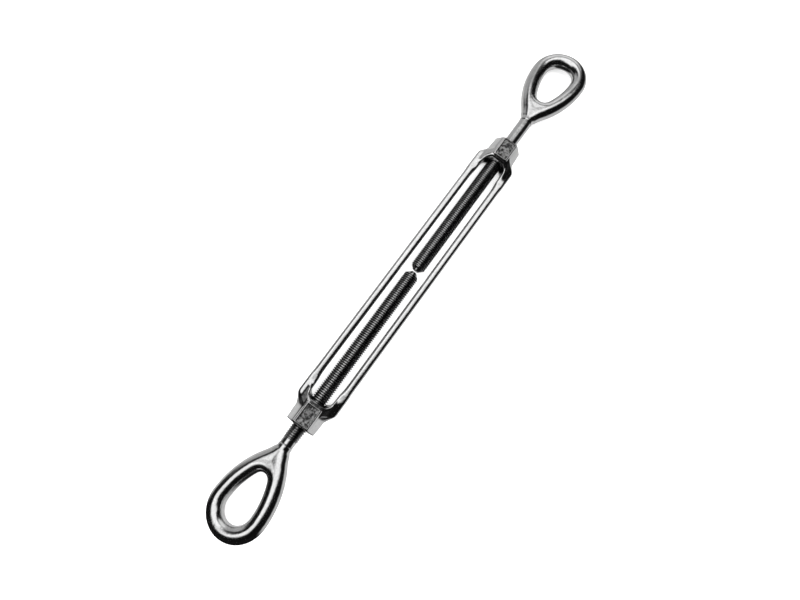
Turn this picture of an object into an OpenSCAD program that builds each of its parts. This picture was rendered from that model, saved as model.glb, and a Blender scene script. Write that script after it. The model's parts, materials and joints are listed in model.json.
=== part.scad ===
// Rigging turnbuckle, eye and eye: an open forged body between two eye bolts,
// one threaded right-hand and one threaded left-hand.
// The origin is on the bore axis, midway between the two eyes.
// +X runs along the bore axis from the right-hand eye to the left-hand eye,
// +Y runs across the two side bars, and +Z leaves the front faces of the bosses.

/* [Thread and take-up] */
// Outside diameter of the thread on both shanks
thread_d = 15.8; // [15.6:0.05:15.85]
// Radial running clearance between shank and boss bore
running_gap = 0.05; // [0.01:0.01:0.1]
// Clear distance between the two bosses at mid-thickness
take_up = 304.8; // [280:0.1:330]

/* [Body] */
// Length of each boss along the bore axis
boss_l = 31; // [28:0.5:36]
// Width of a boss at its outer end
boss_w = 31; // [29:0.5:34]
// Thickness of a boss without its panels
boss_t = 26.4; // [24:0.2:28]
// Overall width across the two side bars
body_w = 44.4; // [42:0.2:48]
// Width of one side bar
bar_w = 8.8; // [7:0.1:10]
// Thickness of one side bar, front to back
bar_t = 13; // [11:0.5:15]
// How much each side of the slot closes in near the bosses
slot_nip = 1; // [0:0.1:2]
// Slope of the slot's end walls away from mid-thickness
slot_draft = 20; // [5:1:25]

/* [Boss panels] */
// Height of a panel's rim above its boss
panel_rise = 1.1; // [0.5:0.1:1.5]
// Width of a panel
panel_w = 17.2; // [14:0.2:20]
// Width of the rim round a panel
panel_rim = 2.2; // [1.5:0.1:3]
// Depth of the field inside the rim
panel_sink = 0.8; // [0.3:0.1:1.2]

/* [Eye bolts] */
// Length from the threaded end to the crown of the eye
bolt_l = 310.7; // [300:0.1:315]
// Threaded length of the right-hand bolt
right_thread_l = 204.7; // [185:0.1:208]
// Threaded length of the left-hand bolt
left_thread_l = 175.4; // [170:0.1:208]
// Diameter of the plain shank beside the thread
shank_d = 14; // [13.5:0.1:15]
// Diameter of the forged neck below the eye
neck_d = 14.6; // [14:0.1:15.5]
// Diameter of the round bar of the eye
eye_bar_d = 16.7; // [14:0.1:19]
// Width of the eye between the centre lines of its sides
eye_w = 46.3; // [44:0.1:50]
// Centre line radius of the eye's long sides
side_r = 85; // [80:0.5:95]
// Distance from the crown's outside to the foot of the hole
hole_foot = 69.1; // [64:0.1:72]
// Inner radius at the foot of the hole
hole_foot_r = 7.8; // [6:0.1:9]
// Distance from the crown's outside to where the forged neck ends
neck_from_crown = 100; // [97:0.1:102]
// Thickness of the flat web between eye and neck
web_t = 15.4; // [10:0.2:16]

/* [Pose] */
// Gap between the threaded ends of the two bolts
end_gap = 2.6; // [2.6:0.1:30]
// Position of the body's middle along the bore axis
body_x = -6.9; // [-20:0.1:20]
// Turn of the right-hand eye about the bore axis
right_eye_turn = -20; // [-90:0.5:90]
// Turn of the left-hand eye about the bore axis
left_eye_turn = -12.5; // [-90:0.5:90]

/* [Hidden] */

$fn = 64;
over = 1;                                    // how far a cutter runs past a surface

// body
half_slot = take_up / 2;
half_l = half_slot + boss_l;
half_w = body_w / 2;
slot_hw = half_w - bar_w;                    // slot half-width between the bars
slot_end_hw = slot_hw - slot_nip;            // slot half-width beside the bosses
slot_corner_r = 7;
bore_r = thread_d / 2 + running_gap;
bore_chamfer = 1.2;
bar_edge_r = 3.8;
bar_corner = bar_edge_r / 2;                 // corner cut of the end block beside a bar

// plan shoulders: an outward arc from the bar, then an inward arc to the boss
shoulder_x = half_slot + 1.6;
shoulder_r = 12;
shoulder_fillet_r = 10;
boss_root_hw = boss_w / 2 + 0.6;             // the boss widens slightly towards the slot
shoulder_drop = half_w - boss_root_hw;
shoulder_run = sqrt(shoulder_drop * (2 * (shoulder_r + shoulder_fillet_r) - shoulder_drop));
fillet_x = shoulder_x + shoulder_run;

// side profile: an inward arc from the bar, then an outward arc to the boss face
ramp_top_x = half_slot + 5.6;
ramp_r = 12;
ramp_fillet_r = 20;
ramp_rise = (boss_t - bar_t) / 2;
ramp_run = sqrt(ramp_rise * (2 * (ramp_r + ramp_fillet_r) - ramp_rise));
end_x = ramp_top_x - ramp_run;               // where the end block begins
end_chamfer = 1.5;
flat_hw = panel_w / 2;                       // half-width of the boss's flat faces
slope_hw = 17.5;                             // where the end block's slope meets bar thickness

// a boss's sides slope to its parting line, and the slope runs out into the shoulder
side_lean = (boss_root_hw - flat_hw) / (boss_t / 2);
runout_angle = 36;                           // in plan, from the bore axis
runout_lean = atan(side_lean * cos(runout_angle));

// boss panels
panel_slot_gap = 1.6;
panel_end_gap = 0.5;
panel_x0 = half_slot + boss_t / 2 * tan(slot_draft) + panel_slot_gap;
panel_l = half_l - panel_end_gap - panel_x0;
panel_corner_r = 2.2;
panel_root = 1.6;                            // how far a rim is rooted in its boss

// eye, in a bolt's own frame: x = 0 at the threaded end, crown at x = bolt_l
bar_r = eye_bar_d / 2;
crown_r = eye_w / 2;
crown_x = bolt_l - bar_r - crown_r;
side_y = side_r - crown_r;
side_end = 90 + asin(sqrt(side_r * side_r - side_y * side_y) / side_r);  // sides meet on the axis
knuckle_r = bar_r + 0.03;                    // ball that joins two arcs of the round bar
knuckle_gap = 0.2;                           // arcs stop this far short of a ball's centre
foot_bar_r = web_t / 2 + 0.2;                // rounds the foot of the hole
foot_r = hole_foot_r + foot_bar_r;
foot_x = bolt_l - hole_foot + hole_foot_r;
foot_sweep = 70;                             // reach of the foot's arc either side of the axis
web_start = 105;                             // angle on a side's arc where the web begins
web_step = 4;
web_end = side_end - 4;
neck_x = bolt_l - neck_from_crown;
neck_root_x = crown_x - side_r * sin(side_end - 90) + 0.8;
neck_root_r = bar_r + 0.15;
shank_root_x = neck_root_x + 9;              // where the shank ends inside the web
thread_tip_chamfer = 4.6;
thread_runout = 1.6;

module rounded_rectangle(w, h, r) {
    square([w - 2 * r, h], center = true);
    square([w, h - 2 * r], center = true);
    for (sx = [-1, 1])
        for (sy = [-1, 1])
            translate([sx * (w / 2 - r), sy * (h / 2 - r)])
                circle(r = r);
}

// sends a bar along +X: its section is drawn with y across and z up
module along_x(length) {
    rotate([90, 0, 90])
        linear_extrude(height = length)
            children();
}

// one side bar
module side_bar(side) {
    translate([-end_x - over, side * (slot_hw + bar_w / 2), 0])
        along_x(2 * (end_x + over))
            rounded_rectangle(bar_w, bar_t, bar_edge_r);
}

// half of the end block's plan, above the bore axis
module end_plan_half() {
    arc_c = [shoulder_x, half_w - shoulder_r];
    fillet_c = [fillet_x, boss_root_hw + shoulder_fillet_r];
    meet = arc_c + (fillet_c - arc_c) * shoulder_r / (shoulder_r + shoulder_fillet_r);
    difference() {
        union() {
            polygon([
                [end_x, 0], [end_x, half_w], [shoulder_x, half_w], meet, [fillet_x, boss_root_hw],
                [half_l - end_chamfer, boss_w / 2], [half_l, boss_w / 2 - end_chamfer], [half_l, 0]
            ]);
            translate(arc_c)
                circle(r = shoulder_r);
        }
        translate(fillet_c)
            circle(r = shoulder_fillet_r);
    }
}

// half of the end block's side profile, above the bore axis
module end_profile_half() {
    arc_c = [ramp_top_x, boss_t / 2 - ramp_r];
    fillet_c = [end_x, bar_t / 2 + ramp_fillet_r];
    meet = arc_c + (fillet_c - arc_c) * ramp_r / (ramp_r + ramp_fillet_r);
    difference() {
        union() {
            polygon([
                [end_x, 0], [end_x, bar_t / 2], meet, [ramp_top_x, boss_t / 2],
                [half_l - end_chamfer, boss_t / 2], [half_l, boss_t / 2 - end_chamfer], [half_l, 0]
            ]);
            translate(arc_c)
                circle(r = ramp_r);
        }
        translate(fillet_c)
            circle(r = ramp_fillet_r);
    }
}

module both_halves() {
    children();
    mirror([0, 1, 0])
        children();
}

// the end block's section: flat faces front and back, sloping down to the bars
module end_section() {
    polygon([
        [flat_hw, boss_t / 2], [slope_hw, bar_t / 2], [half_w - bar_corner, bar_t / 2],
        [half_w, bar_t / 2 - bar_corner], [half_w, -bar_t / 2 + bar_corner],
        [half_w - bar_corner, -bar_t / 2], [slope_hw, -bar_t / 2], [flat_hw, -boss_t / 2],
        [-flat_hw, -boss_t / 2], [-slope_hw, -bar_t / 2], [-half_w + bar_corner, -bar_t / 2],
        [-half_w, -bar_t / 2 + bar_corner], [-half_w, bar_t / 2 - bar_corner],
        [-half_w + bar_corner, bar_t / 2], [-slope_hw, bar_t / 2], [-flat_hw, boss_t / 2]
    ]);
}

// what the slope of one side takes off, above the parting line
module side_slope() {
    translate([fillet_x, 0, 0])
        along_x(boss_l)
            polygon([
                [boss_root_hw, 0], [boss_root_hw - side_lean * boss_t, boss_t],
                [body_w, boss_t], [body_w, 0]
            ]);
    intersection() {
        translate([fillet_x, boss_root_hw, 0])
            rotate([0, 0, -runout_angle])
                rotate([runout_lean, 0, 0])
                    translate([-body_w, 0, -body_w])
                        cube([2 * body_w, body_w, 2 * body_w]);
        translate([end_x, 0, 0])
            cube([fillet_x - end_x, body_w, boss_t]);
    }
}

// the raised rim and sunk field on one face of a boss
module boss_panel() {
    translate([panel_x0 + panel_l / 2, 0, boss_t / 2 - panel_root])
        difference() {
            linear_extrude(height = panel_root + panel_rise)
                rounded_rectangle(panel_l, panel_w, panel_corner_r);
            translate([0, 0, panel_root + panel_rise - panel_sink])
                linear_extrude(height = panel_sink + over)
                    rounded_rectangle(panel_l - 2 * panel_rim, panel_w - 2 * panel_rim, panel_corner_r / 2);
        }
}

// what the slot takes out of an end block
module slot_end() {
    corner_x = half_slot - slot_corner_r;
    corner_y = slot_end_hw - slot_corner_r;
    wall_x = half_slot + boss_t * tan(slot_draft);
    intersection() {
        translate([0, 0, -boss_t])
            linear_extrude(height = 2 * boss_t) {
                polygon([
                    [end_x - over, -slot_hw], [corner_x, -slot_end_hw], [wall_x, -slot_end_hw],
                    [wall_x, slot_end_hw], [corner_x, slot_end_hw], [end_x - over, slot_hw]
                ]);
            }
        rotate([90, 0, 0])
            linear_extrude(height = body_w, center = true)
                polygon([
                    [end_x - over, -boss_t], [wall_x, -boss_t], [half_slot, 0],
                    [wall_x, boss_t], [end_x - over, boss_t]
                ]);
    }
}

// an end block without its panels, slot and bore
module end_solid() {
    difference() {
        intersection() {
            translate([0, 0, -boss_t])
                linear_extrude(height = 2 * boss_t)
                    both_halves()
                        end_plan_half();
            rotate([90, 0, 0])
                linear_extrude(height = body_w + over, center = true)
                    both_halves()
                        end_profile_half();
            translate([end_x, 0, 0])
                along_x(half_l - end_x)
                    end_section();
        }
        for (flip_z = [0, 1])
            mirror([0, 0, flip_z])
                both_halves()
                    side_slope();
    }
}

module end_block() {
    difference() {
        union() {
            end_solid();
            boss_panel();
            mirror([0, 0, 1])
                boss_panel();
        }
        slot_end();
        rotate([0, 90, 0])
            cylinder(r = bore_r, h = half_l + over);
        translate([half_l - bore_chamfer, 0, 0])
            rotate([0, 90, 0])
                cylinder(r1 = bore_r, r2 = bore_r + bore_chamfer + over, h = bore_chamfer + over);
    }
}

// open forged body: two side bars between two bored bosses
module turnbuckle_body() {
    color("lightslategray")
        translate([body_x, 0, 0]) {
            side_bar(1);
            side_bar(-1);
            end_block();
            mirror([1, 0, 0])
                end_block();
        }
}

// one arc of round bar, from angle a0 to a1 about a centre
module bar_arc(centre, r, tube_r, a0, a1) {
    short = knuckle_gap / r * 180 / PI;
    translate(centre)
        rotate([0, 0, a0 + short])
            rotate_extrude(angle = a1 - a0 - 2 * short)
                translate([r, 0])
                    circle(r = tube_r);
}

// teardrop eye: crown, then two long side arcs that run together at the neck
module eye_ring() {
    bar_arc([crown_x, 0, 0], crown_r, bar_r, -90, 90);
    bar_arc([crown_x, -side_y, 0], side_r, bar_r, 90, side_end);
    bar_arc([crown_x, side_y, 0], side_r, bar_r, -side_end, -90);
    both_halves()
        translate([crown_x, crown_r, 0])
            sphere(r = knuckle_r);
}

// rounded foot of the hole
module foot() {
    bar_arc([foot_x, 0, 0], foot_r, foot_bar_r, 180 - foot_sweep, 180 + foot_sweep);
}

// a point on the centre line of the upper side
function on_side(a) = [crown_x + side_r * cos(a), side_r * sin(a) - side_y];

// flat web between the two sides, from the foot of the hole to the neck
module web() {
    angles = [for (a = [web_start : web_step : web_end]) a];
    upper = [for (a = angles) on_side(a)];
    lower = [for (i = [len(upper) - 1 : -1 : 0]) [upper[i].x, -upper[i].y]];
    difference() {
        translate([0, 0, -web_t / 2])
            linear_extrude(height = web_t)
                polygon(concat(upper, lower));
        translate([foot_x, 0, -web_t])
            cylinder(r = foot_r, h = 2 * web_t);
        translate([foot_x, -eye_w / 2, -web_t])
            cube([eye_w, eye_w, 2 * web_t]);
    }
}

// threaded shank, plain shank and neck, turned about the bore axis
module shank(thread_l) {
    rotate([0, 90, 0])
        rotate_extrude()
            polygon([
                [0, 0], [thread_d / 2 - thread_tip_chamfer, 0], [thread_d / 2, thread_tip_chamfer],
                [thread_d / 2, thread_l - thread_runout], [shank_d / 2, thread_l],
                [shank_d / 2, neck_x], [neck_d / 2, neck_x + (neck_d - shank_d) / 2],
                [neck_root_r, neck_root_x], [web_t / 2 - 1, shank_root_x], [0, shank_root_x]
            ]);
}

module eye() {
    web();
    foot();
    eye_ring();
}

module eye_bolt(thread_l) {
    shank(thread_l);
    eye();
}

// eye bolt with the right-hand thread, on the -X side
module right_hand_eye_bolt() {
    color("silver")
        rotate([right_eye_turn, 0, 0])
            translate([-end_gap / 2, 0, 0])
                mirror([1, 0, 0])
                    eye_bolt(right_thread_l);
}

// eye bolt with the left-hand thread, on the +X side
module left_hand_eye_bolt() {
    color("gainsboro")
        rotate([left_eye_turn, 0, 0])
            translate([end_gap / 2, 0, 0])
                eye_bolt(left_thread_l);
}

turnbuckle_body();
right_hand_eye_bolt();
left_hand_eye_bolt();
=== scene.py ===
"""Looks of an eye-and-eye rigging turnbuckle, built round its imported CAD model.

Lengths in the shape functions are in millimetres and become metres in make_object().
The forged shapes are fields: a function gives roughly the distance from its surface,
negative inside the steel, and surface_mesh() puts quads on the zero level.
"""

import json
import math

import bmesh
import bpy
import numpy as np
from mathutils import Matrix, Vector


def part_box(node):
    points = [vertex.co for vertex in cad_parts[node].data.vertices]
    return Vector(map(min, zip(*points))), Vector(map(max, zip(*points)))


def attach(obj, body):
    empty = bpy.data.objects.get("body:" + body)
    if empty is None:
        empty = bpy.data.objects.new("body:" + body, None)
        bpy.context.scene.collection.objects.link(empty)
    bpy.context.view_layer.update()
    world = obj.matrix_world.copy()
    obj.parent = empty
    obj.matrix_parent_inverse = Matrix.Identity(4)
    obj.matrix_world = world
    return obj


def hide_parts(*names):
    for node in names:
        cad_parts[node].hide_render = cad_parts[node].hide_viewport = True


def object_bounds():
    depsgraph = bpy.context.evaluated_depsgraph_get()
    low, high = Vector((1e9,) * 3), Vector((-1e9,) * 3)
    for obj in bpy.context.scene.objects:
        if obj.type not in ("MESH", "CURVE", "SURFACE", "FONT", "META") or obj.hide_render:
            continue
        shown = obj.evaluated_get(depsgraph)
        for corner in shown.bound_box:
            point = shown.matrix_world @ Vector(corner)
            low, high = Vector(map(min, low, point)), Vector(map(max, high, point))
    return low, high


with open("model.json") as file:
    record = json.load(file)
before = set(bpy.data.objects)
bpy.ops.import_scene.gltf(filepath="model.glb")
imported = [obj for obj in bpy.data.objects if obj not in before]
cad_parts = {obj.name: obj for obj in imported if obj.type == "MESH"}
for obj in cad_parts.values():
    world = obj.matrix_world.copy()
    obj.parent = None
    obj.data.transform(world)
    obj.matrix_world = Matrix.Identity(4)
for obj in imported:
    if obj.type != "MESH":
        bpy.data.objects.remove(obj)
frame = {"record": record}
cad_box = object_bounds()

MM = 0.001

# ---------------------------------------------------------------- sizes, in mm
body_lo, body_hi = (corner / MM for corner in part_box("turnbuckle_body"))
BODY_X = (body_lo.x + body_hi.x) / 2
HALF_L = (body_hi.x - body_lo.x) / 2
HALF_W = (body_hi.y - body_lo.y) / 2
RIM_Z = body_hi.z                    # front of a boss panel's rim
BOSS_L = 31.0
HALF_SLOT = HALF_L - BOSS_L
BOSS_HW = 15.5                       # half-width of a boss at its outer end
BOSS_TAPER = 0.045                   # widening of a boss towards the slot
BOSS_LEAN = 0.5                      # slope of a boss's sides to its parting line
BAR_W = 8.8
BAR_Z = 6.5                          # half-thickness of a side bar
BAR_EDGE_R = 3.9
SLOT_HW = HALF_W - BAR_W
SLOT_DRAFT = 0.36                    # slope of the slot's end walls
BORE_R = 7.95
BORE_CHAMFER = 1.2
PANEL_DEPTH = 1.1                    # a rim stands this far above its boss and its sunk field
BOSS_Z = RIM_Z - PANEL_DEPTH         # front face of a boss
PANEL_HW = 8.6
PANEL_X0 = HALF_SLOT + 6.4
PANEL_X1 = HALF_L - 0.5
PANEL_RIM = 2.1
PANEL_CORNER_R = 2.2

left_lo, left_hi = (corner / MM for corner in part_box("left_hand_eye_bolt"))
RIGHT_TIP_X = (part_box("right_hand_eye_bolt")[1] / MM).x
LEFT_TIP_X = left_lo.x
BOLT_L = left_hi.x - left_lo.x
RIGHT_THREAD_L = 204.7
LEFT_THREAD_L = 175.4
THREAD_R = 7.93                      # crest radius of the 5/8 in thread
THREAD_DEPTH = 1.3
THREAD_FADE = 1.6                    # pitches over which the thread runs out
PITCH = 25.4 / 11
SHANK_R = 7.0
NECK_R = 7.3
TIP_CHAMFER = 4.6
BAR_R = 8.35                         # round bar of the eye
CROWN_R = 23.15
SIDE_R = 85.0
SIDE_Y = SIDE_R - CROWN_R
CROWN_X = BOLT_L - BAR_R - CROWN_R
FOOT_X = BOLT_L - 61.3               # centre of the arc at the foot of the hole
FOOT_R = SIDE_R - BAR_R - math.hypot(CROWN_X - FOOT_X, SIDE_Y)
WEB_DISH = 0.2                       # how far the web lies below the bar's crest
NECK_X = BOLT_L - 100.0              # where the forged neck starts
NECK_STEP = 0.9                      # length of the step from shank to neck
JOIN_X = NECK_X + 0.6                # where the turned mesh meets the forged one

FLASH_T = 0.8                        # trimmed flash left along a parting line
BODY_FLASH = 0.18
EYE_FLASH = 0.15

MARGIN = 1.0                         # empty grid kept round a shape
MERGE = 0.01                         # vertices closer than this become one


# ---------------------------------------------------------------- field helpers
def smooth_max(a, b, k):
    """The larger of two fields, rounded over a width k where they meet."""
    h = np.clip(0.5 + 0.5 * (a - b) / k, 0.0, 1.0)
    return b + (a - b) * h + k * h * (1.0 - h)


def smooth_min(a, b, k):
    return -smooth_max(-a, -b, k)


def ease(t):
    """0 to 1 in an S curve."""
    t = np.clip(t, 0.0, 1.0)
    return t * t * (3.0 - 2.0 * t)


def flash(z, height):
    """How far the flash stands out at a distance z from the parting line."""
    return height * np.exp(-((z / FLASH_T) ** 2))


def rounded_rectangle(x, y, half_x, half_y, r):
    dx = np.abs(x) - half_x + r
    dy = np.abs(y) - half_y + r
    outside = np.hypot(np.maximum(dx, 0.0), np.maximum(dy, 0.0))
    return outside + np.minimum(np.maximum(dx, dy), 0.0) - r


# ---------------------------------------------------------------- the forged body
def panel_outline(x, y):
    middle = (PANEL_X0 + PANEL_X1) / 2
    half_x = (PANEL_X1 - PANEL_X0) / 2
    return rounded_rectangle(np.abs(x) - middle, y, half_x, PANEL_HW, PANEL_CORNER_R)


def body_field(x, y, z):
    """Two side bars between two bosses, about the body's own middle.

    from_slot is the distance from the slot's end, towards the boss. The last argument of
    each smooth_max() and smooth_min() is the width of the rounding between the two faces.
    A factor near 0.9 on a sloping face turns a height above it back into a distance.
    """
    x, y, z = np.abs(x), np.abs(y), np.abs(z)
    from_slot = x - HALF_SLOT

    shoulder = ease((from_slot - 2.0) / 14.0)            # bars draw in to the boss's width
    boss_hw = BOSS_HW + BOSS_TAPER * (HALF_L - x)
    half_width = HALF_W + (boss_hw - HALF_W) * shoulder
    lean = BOSS_LEAN * ease((from_slot - 3.0) / 13.0)
    side = (y - half_width + lean * z) * 0.88 - flash(z, BODY_FLASH)

    rise = ease((from_slot + 16.0) / 22.0)               # bars thicken to the boss's height
    rise_from = BAR_Z - 2.5                              # below the bar's face, so it shows late
    ramp = (z - rise_from - (BOSS_Z - rise_from) * rise) * 0.9
    ridge = (z - BAR_Z) * 0.79 + (y - SLOT_HW - 4.1) * 0.61
    face = smooth_min(z - BAR_Z, smooth_max(ramp, ridge, 1.6), 2.0)
    solid = smooth_max(side, face, 3.2)
    solid = smooth_max(solid, x - HALF_L, 1.6)

    slot_hw = SLOT_HW - ease((from_slot + 30.0) / 26.0)  # the slot narrows by 1 mm at its ends
    end_wall = (from_slot - SLOT_DRAFT * z) * 0.94
    slot = smooth_max(y - slot_hw, end_wall, 7.0)
    solid = smooth_max(solid, -slot, 2.4)
    bar = rounded_rectangle(y - HALF_W + BAR_W / 2, z, BAR_W / 2, BAR_Z, BAR_EDGE_R)
    let_go = 0.02 * np.maximum(from_slot + 24.0, 0.0) ** 2
    solid = smooth_max(solid, bar - let_go, 1.0)         # round bars, until they near a boss

    rim = panel_outline(x, y)
    solid = smooth_min(solid, smooth_max(rim, z - RIM_Z, 2.2), 0.6)
    sunk = smooth_max(rim + PANEL_RIM, RIM_Z - PANEL_DEPTH - z, 0.7)
    solid = smooth_max(solid, -sunk, 0.5)

    bore = np.hypot(y, z) - BORE_R - np.maximum(x - HALF_L + BORE_CHAMFER, 0.0)
    return smooth_max(solid, -bore, 0.6)


# ---------------------------------------------------------------- the forged eye
def eye_field(x, y, z):
    """Teardrop eye, web and neck, with x measured from the bolt's threaded end.

    In plan the steel lies between an outer outline and the hole. Its edges are rounded to
    the bar's radius, so the two sides and the crown are round bar and the web is flat.
    """
    y = np.abs(y)
    at_crown = x > CROWN_X
    from_crown = np.hypot(x - CROWN_X, y) - CROWN_R
    from_side = np.hypot(x - CROWN_X, y + SIDE_Y) - SIDE_R
    line = np.where(at_crown, from_crown, from_side)

    at_foot = (FOOT_X - CROWN_X) * (y + SIDE_Y) > SIDE_Y * (x - CROWN_X)
    hole = np.where(at_foot, np.hypot(x - FOOT_X, y) - FOOT_R, line + BAR_R)
    flare = ease((x - JOIN_X) / 6.0)                     # the neck opens into the web
    neck = np.maximum(y - NECK_R, x - FOOT_X)
    outer = smooth_min(line - BAR_R, neck, 7.0 * flare + 0.01)

    inward = np.minimum(-outer, hole)
    edge_r = NECK_R + (BAR_R - NECK_R) * ease((x - NECK_X - 1.0) / 28.0)
    dish = WEB_DISH * ease((inward - edge_r) / 7.0)
    trim = flash(z, EYE_FLASH) * flare * (outer > -3.0)  # on the outer edge, not in the hole
    return np.hypot(np.maximum(edge_r - inward, 0.0), z) - edge_r + dish - trim


# ---------------------------------------------------------------- meshes
def surface_mesh(field, axes):
    """Surface nets: one vertex in each grid cell that the surface crosses, then pulled onto it."""
    grids = np.meshgrid(*axes, indexing="ij")
    value = field(*grids)
    inside = value < 0
    cells = tuple(n - 1 for n in value.shape)
    total = np.zeros(cells + (3,))
    count = np.zeros(cells)
    crossings = []
    for axis in range(3):
        near = tuple(slice(None, -1) if a == axis else slice(None) for a in range(3))
        far = tuple(slice(1, None) if a == axis else slice(None) for a in range(3))
        crossed = inside[near] != inside[far]
        where = np.argwhere(crossed)
        start = np.stack([g[near][crossed] for g in grids], 1)
        stop = np.stack([g[far][crossed] for g in grids], 1)
        t = value[near][crossed] / (value[near][crossed] - value[far][crossed])
        point = start + (stop - start) * t[:, None]
        u, v = [a for a in range(3) if a != axis]
        corners = []
        whole = np.ones(len(where), bool)
        for du, dv in ((-1, -1), (0, -1), (0, 0), (-1, 0)):
            cell = where.copy()
            cell[:, u] += du
            cell[:, v] += dv
            real = (cell >= 0).all(1) & (cell < cells).all(1)
            whole &= real
            spot = tuple(cell[real].T)
            np.add.at(total, spot, point[real])
            np.add.at(count, spot, 1)
            corners.append(cell)
        flip = inside[near][crossed] ^ (axis == 1)
        crossings.append((corners, whole, flip))
    used = count > 0
    index = np.full(cells, -1)
    index[used] = np.arange(used.sum())
    verts = total[used] / count[used][:, None]
    quads = []
    for corners, whole, flip in crossings:
        quad = np.stack([index[tuple(c[whole].T)] for c in corners], 1)
        quad[~flip[whole]] = quad[~flip[whole]][:, ::-1]
        quads.append(quad)
    return pull_to_surface(field, verts), np.concatenate(quads)


def pull_to_surface(field, verts, rounds=3, eps=0.04, reach=0.5):
    """Newton steps onto the zero level, each no longer than reach along an axis."""
    for _ in range(rounds):
        slope = np.stack([
            (field(*(verts + step).T) - field(*(verts - step).T)) / (2 * eps)
            for step in np.eye(3) * eps
        ], 1)
        steepness = np.maximum((slope**2).sum(1), 0.2)
        move = slope * (field(*verts.T) / steepness)[:, None]
        verts = verts - np.clip(move, -reach, reach)
    return verts


def turned_mesh(stations, radius, sides):
    """Rings of vertices about the x axis, one at each station, at radius(x, angle)."""
    angle = np.arange(sides) * 2 * math.pi / sides
    x, a = np.meshgrid(stations, angle, indexing="ij")
    r = radius(x, a)
    verts = np.stack([x, r * np.cos(a), r * np.sin(a)], 2).reshape(-1, 3)
    ring = np.arange(sides)
    following = np.roll(ring, -1)
    rows = np.arange(len(stations) - 1)[:, None] * sides
    corners = [rows + ring, rows + sides + ring, rows + sides + following, rows + following]
    return verts, np.stack(corners, 2).reshape(-1, 4)


def shank_radius(thread_l, hand):
    """Radius of the threaded and plain shank. hand is +1 for a right-hand thread."""

    def radius(x, angle):
        phase = (x / PITCH - hand * angle / (2 * math.pi)) % 1.0
        depth = np.clip(2.6 * np.abs(phase - 0.5) - 0.15, 0.0, 1.0)
        cut = THREAD_R - THREAD_DEPTH * ease(depth)
        from_step = x - NECK_X + NECK_STEP
        plain = SHANK_R + (NECK_R - SHANK_R) * ease(from_step / NECK_STEP)
        groove = 0.35 * np.exp(-((from_step / 0.5) ** 2))
        threaded = ease((thread_l - x) / (THREAD_FADE * PITCH))
        shank = plain - groove + (cut - plain) * threaded
        chamfer = THREAD_R - TIP_CHAMFER + x
        return np.minimum(shank, chamfer)

    return radius


def add_faces(made, verts, quads):
    """Adds vertices and faces to a bmesh, and returns the new vertices."""
    points = [made.verts.new(v) for v in verts]
    for quad in quads:
        made.faces.new([points[i] for i in quad])
    return points


def grid_line(lo, hi, step):
    """Evenly spaced values from lo to hi, about a step apart."""
    return np.linspace(lo, hi, max(2, round((hi - lo) / step) + 1))


def body_mesh(step):
    """The body's mesh, coarse along the straight of the bars and fine at the bosses."""
    fine_from = HALF_SLOT - 18.0
    fine = grid_line(fine_from, HALF_L + MARGIN, step)
    coarse = grid_line(-fine_from, fine_from, 6.0)[1:-1]
    xs = np.concatenate([-fine[::-1], coarse, fine])
    ys = grid_line(-HALF_W - MARGIN, HALF_W + MARGIN, step)
    zs = grid_line(-RIM_Z - MARGIN, RIM_Z + MARGIN, step)
    made = bmesh.new()
    add_faces(made, *surface_mesh(body_field, (xs, ys, zs)))
    bmesh.ops.remove_doubles(made, verts=made.verts, dist=MERGE)
    return made


def bolt_mesh(thread_l, hand, step, sides, per_pitch):
    """One closed mesh: the turned shank, joined to the forged neck and eye."""
    xs = grid_line(JOIN_X, BOLT_L + MARGIN, step)
    half_y = CROWN_R + BAR_R + 8.0
    ys = grid_line(-half_y, half_y, step)
    zs = grid_line(-BAR_R - MARGIN, BAR_R + MARGIN, step)
    eye = surface_mesh(eye_field, (xs, ys, zs))

    thread_end = thread_l + 0.5
    groove_from = NECK_X - 3.0
    threaded = grid_line(0.0, thread_end, PITCH / per_pitch)
    plain = grid_line(thread_end, groove_from, 3.0)[1:]
    groove = grid_line(groove_from, NECK_X, 0.25)[1:]
    stations = np.concatenate([threaded, plain, groove])
    shank = turned_mesh(stations, shank_radius(thread_l, hand), sides)

    made = bmesh.new()
    tip = add_faces(made, *shank)[:sides]
    made.faces.new(tip)
    add_faces(made, *eye)
    open_edges = [e for e in made.edges if len(e.link_faces) == 1]
    bmesh.ops.bridge_loops(made, edges=open_edges)
    bmesh.ops.recalc_face_normals(made, faces=made.faces)
    return made


def mark_panels(made):
    """Stores on each vertex whether it lies in the sunk field of a boss panel, from 0 to 1."""
    layer = made.verts.layers.float.new("panel_field")
    below_field = BOSS_Z - 1.0
    for vert in made.verts:
        x, y, z = vert.co
        if abs(z) > below_field:
            vert[layer] = float(ease(0.5 - panel_outline(x, y) - PANEL_RIM))


def make_object(name, made, place, material):
    """A smooth-shaded object in metres, from a bmesh in mm and its place in the row frame."""
    made.transform(Matrix.Scale(MM, 4) @ place)
    mesh = bpy.data.meshes.new(name)
    made.to_mesh(mesh)
    made.free()
    mesh.polygons.foreach_set("use_smooth", [True] * len(mesh.polygons))
    mesh.materials.append(material)
    obj = bpy.data.objects.new(name, mesh)
    bpy.context.scene.collection.objects.link(obj)
    return obj


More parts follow.
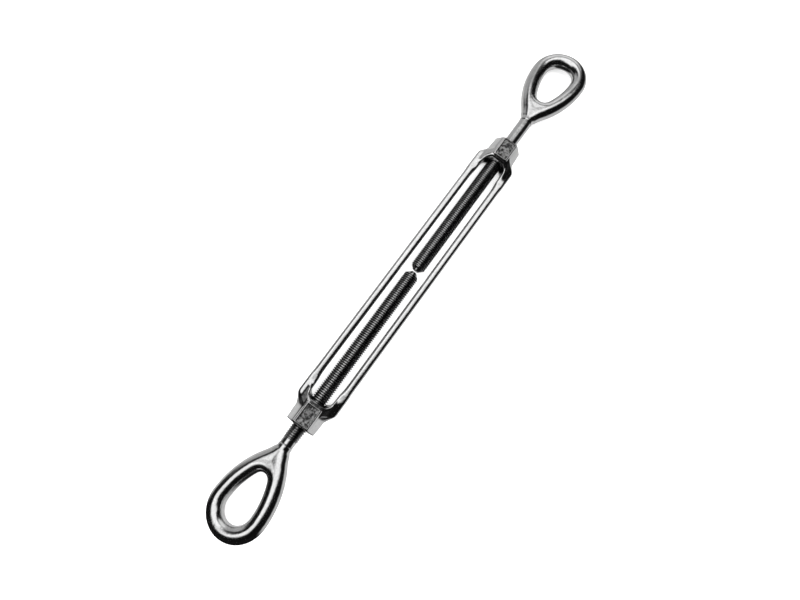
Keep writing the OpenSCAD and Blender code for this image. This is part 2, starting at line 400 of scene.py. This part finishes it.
# ---------------------------------------------------------------- materials
SOFTBOX_LEAN = math.radians(17)      # the softbox overhead leans towards +Y
SOFTBOX_SKEW = 0.4                   # its -Y edge runs askew of the bore axis
SOFTBOX_LEVEL = 1.15
WALL_LEVEL = 0.4
TABLE_LEVEL = 0.6
DARK_LEVEL = 0.005
GLOWS = (                            # way to its middle, cosines of its edge and full part, level
    (Vector((0.8, 0.4, 0.4)), 0.93, 0.97, 0.8),          # strip light beyond the left-hand eye
    (Vector((0.78, 0.57, 0.25)), 0.8, 0.9, WALL_LEVEL),  # grey wall beside it
)
FLOOR_GLOW = 0.45
ROUGHNESS_SPREAD = 0.12
PANEL_ROUGHNESS = 0.2
PAINTED_SHADE_REACH = 0.012                 # in metres, how near other steel must be for painted shade to darken a hollow


class Nodes:
    """Short names for building a material's node tree."""

    def __init__(self, name, owner=None):
        self.material = owner or bpy.data.materials.new(name)
        self.material.use_nodes = True
        self.tree = self.material.node_tree
        self.bsdf = self.tree.nodes.get("Principled BSDF")

    def add(self, kind, inputs=None, **settings):
        node = self.tree.nodes.new(kind)
        for key, value in settings.items():
            setattr(node, key, value)
        for key, value in (inputs or {}).items():
            self.put(node.inputs[key], value)
        return node

    def put(self, socket, value):
        if isinstance(value, bpy.types.NodeSocket):
            self.tree.links.new(value, socket)
        else:
            socket.default_value = value

    def position(self):
        return self.add("ShaderNodeTexCoord").outputs["Object"]

    def noise(self, where, scale, detail=4.0, roughness=0.55):
        made = self.add(
            "ShaderNodeTexNoise",
            {"Vector": where, "Scale": scale, "Detail": detail, "Roughness": roughness},
        )
        return made.outputs["Fac"]

    def ramp(self, value, *stops):
        made = self.add("ShaderNodeValToRGB", {"Fac": value})
        ramp = made.color_ramp
        while len(ramp.elements) < len(stops):
            ramp.elements.new(0.5)
        for element, (at, level) in zip(ramp.elements, stops):
            element.position = at
            element.color = grey(level)
        return made.outputs["Color"]

    def math(self, operation, a, b):
        made = self.add("ShaderNodeMath", operation=operation)
        self.put(made.inputs[0], a)
        self.put(made.inputs[1], b)
        return made.outputs["Value"]

    def product(self, first, *others):
        for factor in others:
            first = self.math("MULTIPLY", first, factor)
        return first

    def dot(self, a, b):
        made = self.add("ShaderNodeVectorMath", {0: a, 1: b}, operation="DOT_PRODUCT")
        return made.outputs["Value"]

    def step(self, value, start, end, level=1.0):
        """0 to level as the value goes from start to end, in an S curve."""
        inputs = {"Value": value, "From Min": start, "From Max": end, "To Max": level}
        made = self.add("ShaderNodeMapRange", inputs, interpolation_type="SMOOTHSTEP")
        return made.outputs["Result"]

    def mix(self, factor, a, b, blend="MIX"):
        made = self.add("ShaderNodeMix", data_type="RGBA", blend_type=blend)
        self.put(made.inputs["Factor"], factor)
        self.put(made.inputs["A"], a)
        self.put(made.inputs["B"], b)
        return made.outputs["Result"]

    def reflected_as(self, seen, reflected, output):
        """Shows one shader to the eye and another in reflections."""
        path = self.add("ShaderNodeLightPath").outputs["Is Glossy Ray"]
        mixed = self.add("ShaderNodeMixShader", {"Fac": path})
        self.put(mixed.inputs[1], seen)
        self.put(mixed.inputs[2], reflected)
        self.put(output.inputs["Surface"], mixed.outputs["Shader"])

    def bump(self, height, distance, strength=1.0, normal=None):
        inputs = {"Height": height, "Distance": distance, "Strength": strength}
        if normal is not None:
            inputs["Normal"] = normal
        return self.add("ShaderNodeBump", inputs).outputs["Normal"]


def grey(level):
    return (level, level, level, 1)


def forged_steel(name, bright, dull, polish):
    """Bright forged steel: cloudy tone, forging skin, worn edges, and painted shade darkening its
    creases and hollows.
    """
    n = Nodes(name)
    where = n.position()
    clouds = n.noise(where, 60.0)                        # patches about 15 mm across
    speckle = n.noise(where, 900.0, 5.0, 0.65)           # grains about 1 mm across
    tone = n.mix(n.ramp(clouds, (0.35, 0.0), (0.65, 1.0)), grey(dull), grey(bright))
    tone = n.mix(0.3, tone, n.ramp(speckle, (0.3, 0.3), (0.7, 1.0)), "MULTIPLY")

    edges = n.add("ShaderNodeNewGeometry").outputs["Pointiness"]
    # painted shade: concave creases, found by low pointiness, are darkened in the base colour
    painted_crease_shade = n.ramp(edges, (0.42, 0.25), (0.5, 1.0))
    tone = n.mix(0.7, tone, painted_crease_shade, "MULTIPLY")
    # painted shade: hollows and narrow gaps between parts are darkened in the base colour from
    # ambient occlusion
    open_to = n.add("ShaderNodeAmbientOcclusion", {"Distance": PAINTED_SHADE_REACH}, samples=8)
    painted_hollow_shade = n.ramp(open_to.outputs["AO"], (0.45, 0.12), (0.85, 1.0))
    tone = n.mix(1.0, tone, painted_hollow_shade, "MULTIPLY")
    worn = n.ramp(edges, (0.51, 0.0), (0.58, 1.0))
    tone = n.mix(n.math("MULTIPLY", worn, 0.6), tone, grey(0.95))

    panel = n.add("ShaderNodeAttribute", attribute_name="panel_field").outputs["Fac"]
    scale = n.ramp(n.noise(where, 420.0, 3.0), (0.4, 0.05), (0.62, 0.55))
    n.put(n.bsdf.inputs["Base Color"], n.mix(panel, tone, scale))
    n.put(n.bsdf.inputs["Metallic"], 1.0)
    span = {"Value": clouds, "To Min": polish, "To Max": polish + ROUGHNESS_SPREAD}
    rough = n.add("ShaderNodeMapRange", span).outputs["Result"]
    rough = n.math("ADD", rough, n.math("MULTIPLY", panel, PANEL_ROUGHNESS))
    n.put(n.bsdf.inputs["Roughness"], rough)
    skin = n.bump(n.noise(where, 350.0, 6.0, 0.6), 0.00008)
    waves = n.bump(n.noise(where, 90.0, 3.0), 0.0003, 0.6, skin)
    n.put(n.bsdf.inputs["Normal"], waves)
    return n.material


def surround(n, way):
    """What the bright steel reflects in a direction, in a dark room: a long softbox overhead,
    a strip light and a grey wall beyond the left-hand eye, a grey wall along the +Y side,
    and a pale table below, which ends short of the right-hand eye."""
    axes = n.add("ShaderNodeSeparateXYZ", {"Vector": way}).outputs
    across = Vector((0, math.cos(SOFTBOX_LEAN), -math.sin(SOFTBOX_LEAN)))
    overhead = Vector((0, math.sin(SOFTBOX_LEAN), math.cos(SOFTBOX_LEAN)))
    skew = Vector((SOFTBOX_SKEW, 0, 0))
    softbox = n.product(
        n.step(n.dot(way, across), 0.5, 0.36),               # its +Y edge
        n.step(n.dot(way, across + skew), -0.45, -0.12),     # its softer -Y edge
        n.step(n.dot(way, overhead), 0.25, 0.5),
        n.step(axes["X"], 0.58, 0.46),                       # its ends
        n.step(axes["X"], -0.65, -0.4, SOFTBOX_LEVEL),
    )
    wall = n.product(
        n.step(axes["Y"], 0.45, 0.65),
        n.step(axes["X"], -0.12, 0.2),
        n.step(axes["Z"], 0.5, 0.3, WALL_LEVEL),
    )
    below = n.dot(way, Vector((0, 0.15, 1)))                 # it slopes down towards -Y
    table = n.product(n.step(below, 0.05, -0.3, TABLE_LEVEL), n.step(axes["X"], -0.45, -0.2))
    lights = [softbox, wall, table]
    for toward, edge, full, level in GLOWS:
        lights.append(n.step(n.dot(way, toward.normalized()), edge, full, level))
    lit = grey(DARK_LEVEL)
    for light in lights:
        lit = n.mix(1.0, lit, light, "LIGHTEN")
    return lit


def floor_paper():
    """Pale paper to the eye. The steel sees the surround in its place."""
    n = Nodes("pale_floor")
    n.put(n.bsdf.inputs["Base Color"], grey(0.9))
    fibre = n.noise(n.position(), 400.0, 6.0)
    rough = n.add("ShaderNodeMapRange", {"Value": fibre, "To Min": 0.85, "To Max": 0.95})
    n.put(n.bsdf.inputs["Roughness"], rough.outputs["Result"])
    n.put(n.bsdf.inputs["Normal"], n.bump(fibre, 0.0001, 0.3))
    n.put(n.bsdf.inputs["Emission Color"], grey(1.0))
    n.put(n.bsdf.inputs["Emission Strength"], FLOOR_GLOW)
    back = n.add("ShaderNodeNewGeometry").outputs["Incoming"]
    way = n.add("ShaderNodeVectorMath", {0: back, "Scale": -1.0}, operation="SCALE").outputs["Vector"]
    room = n.add("ShaderNodeEmission", {"Color": surround(n, way)}).outputs["Emission"]
    n.reflected_as(n.bsdf.outputs["BSDF"], room, n.tree.nodes["Material Output"])
    return n.material


# ---------------------------------------------------------------- build the pieces
record = frame["record"]
mount_axis = {m["name"]: Vector(m["axis"]) for m in record["mounts"]}


def eye_turn(mount):
    """Roll of an eye about the bore axis, from the way its mount faces."""
    axis = mount_axis[mount]
    return math.atan2(-axis.y, axis.z)


grid_step = 0.55
rings_per_pitch = 12
SHANK_SIDES = 44
body_steel = forged_steel("forged_body_steel", 0.95, 0.82, 0.09)
bolt_steel = forged_steel("eye_bolt_steel", 0.93, 0.78, 0.1)

made = body_mesh(grid_step)
mark_panels(made)
body = make_object("forged_body", made, Matrix.Translation((BODY_X, 0, 0)), body_steel)
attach(body, "body")
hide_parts("turnbuckle_body")

bolts = (                            # side, thread's length and hand, threaded end, facing
    ("right_hand", RIGHT_THREAD_L, 1, RIGHT_TIP_X, math.pi),
    ("left_hand", LEFT_THREAD_L, -1, LEFT_TIP_X, 0.0),
)
for side, thread_l, hand, tip_x, facing in bolts:
    place = (
        Matrix.Rotation(eye_turn(f"{side}_eye"), 4, "X")
        @ Matrix.Translation((tip_x, 0, 0))
        @ Matrix.Rotation(facing, 4, "Z")
    )
    made = bolt_mesh(thread_l, hand, grid_step, SHANK_SIDES, rings_per_pitch)
    bolt = make_object(f"{side}_bolt_forging", made, place, bolt_steel)
    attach(bolt, f"{side}_bolt")
    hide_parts(f"{side}_eye_bolt")

# ---------------------------------------------------------------- floor and light
FLOOR_SIZE = 60.0                    # so wide that the camera never sees its edge
FLOOR_GAP = 0.0005
floor_z = cad_box[0].z - FLOOR_GAP
bpy.ops.mesh.primitive_plane_add(size=FLOOR_SIZE, location=(0, 0, floor_z))
floor = bpy.context.object
floor.name = "pale_floor"
floor.data.materials.append(floor_paper())


def area_light(name, place, width, depth, power):
    """A softbox aimed at the middle of the turnbuckle, which the steel doesn't reflect."""
    data = bpy.data.lights.new(name, "AREA")
    data.shape = "RECTANGLE"
    data.size, data.size_y = width, depth
    data.energy = power
    lamp = bpy.data.objects.new(name, data)
    lamp.location = place
    lamp.visible_glossy = False
    lamp.rotation_euler = (-Vector(place)).to_track_quat("-Z", "Y").to_euler()
    bpy.context.scene.collection.objects.link(lamp)


area_light("key_softbox", (0.15, 0.55, 1.1), 0.9, 0.5, 14)
area_light("top_softbox", (-0.1, -0.1, 1.3), 0.7, 0.35, 8)


def studio_world():
    """A pale studio to the eye. The steel sees the surround in its place."""
    world = bpy.data.worlds.new("studio")
    bpy.context.scene.world = world
    n = Nodes("studio", world)
    world.cycles.sampling_method = "NONE"
    way = n.add("ShaderNodeTexCoord").outputs["Generated"]
    room = n.add("ShaderNodeBackground", {"Color": surround(n, way)})
    pale = n.add("ShaderNodeBackground", {"Color": grey(1.0)})
    output = n.tree.nodes["World Output"]
    n.reflected_as(pale.outputs["Background"], room.outputs["Background"], output)


studio_world()
bpy.context.scene.view_settings.view_transform = "Standard"

# ---------------------------------------------------------------- camera
# seen from in front of the bosses and a little towards the right-hand eye,
# with the turnbuckle running from the picture's lower left to its upper right
VIEW_TILT = math.radians(12.78)      # lean of the view along the bore axis
VIEW_ROLL = math.radians(52.43)      # bore axis above the picture's horizontal
VIEW_YAW = math.radians(1.13)        # turn of the view across the bore axis
CAMERA_FROM_BODY = Vector((-159.9, -5.1, 590.5)) * MM
SENSOR_W = 36
LENS = 27

cos_tilt, sin_tilt = math.cos(VIEW_TILT), math.sin(VIEW_TILT)
along = Vector((cos_tilt * math.cos(VIEW_YAW), -cos_tilt * math.sin(VIEW_YAW), sin_tilt))
back = Vector((-sin_tilt, 0, cos_tilt))
across = back.cross(along).normalized()
along = across.cross(back).normalized()
right = math.cos(VIEW_ROLL) * along - math.sin(VIEW_ROLL) * across
up = back.cross(right)
camera_data = bpy.data.cameras.new("camera")
camera_data.sensor_width = SENSOR_W
camera_data.lens = LENS
camera = bpy.data.objects.new("camera", camera_data)
place = Vector((BODY_X * MM, 0, 0)) + CAMERA_FROM_BODY
camera.matrix_world = Matrix.Translation(place) @ Matrix((right, up, back)).transposed().to_4x4()
bpy.context.scene.collection.objects.link(camera)
bpy.context.scene.camera = camera
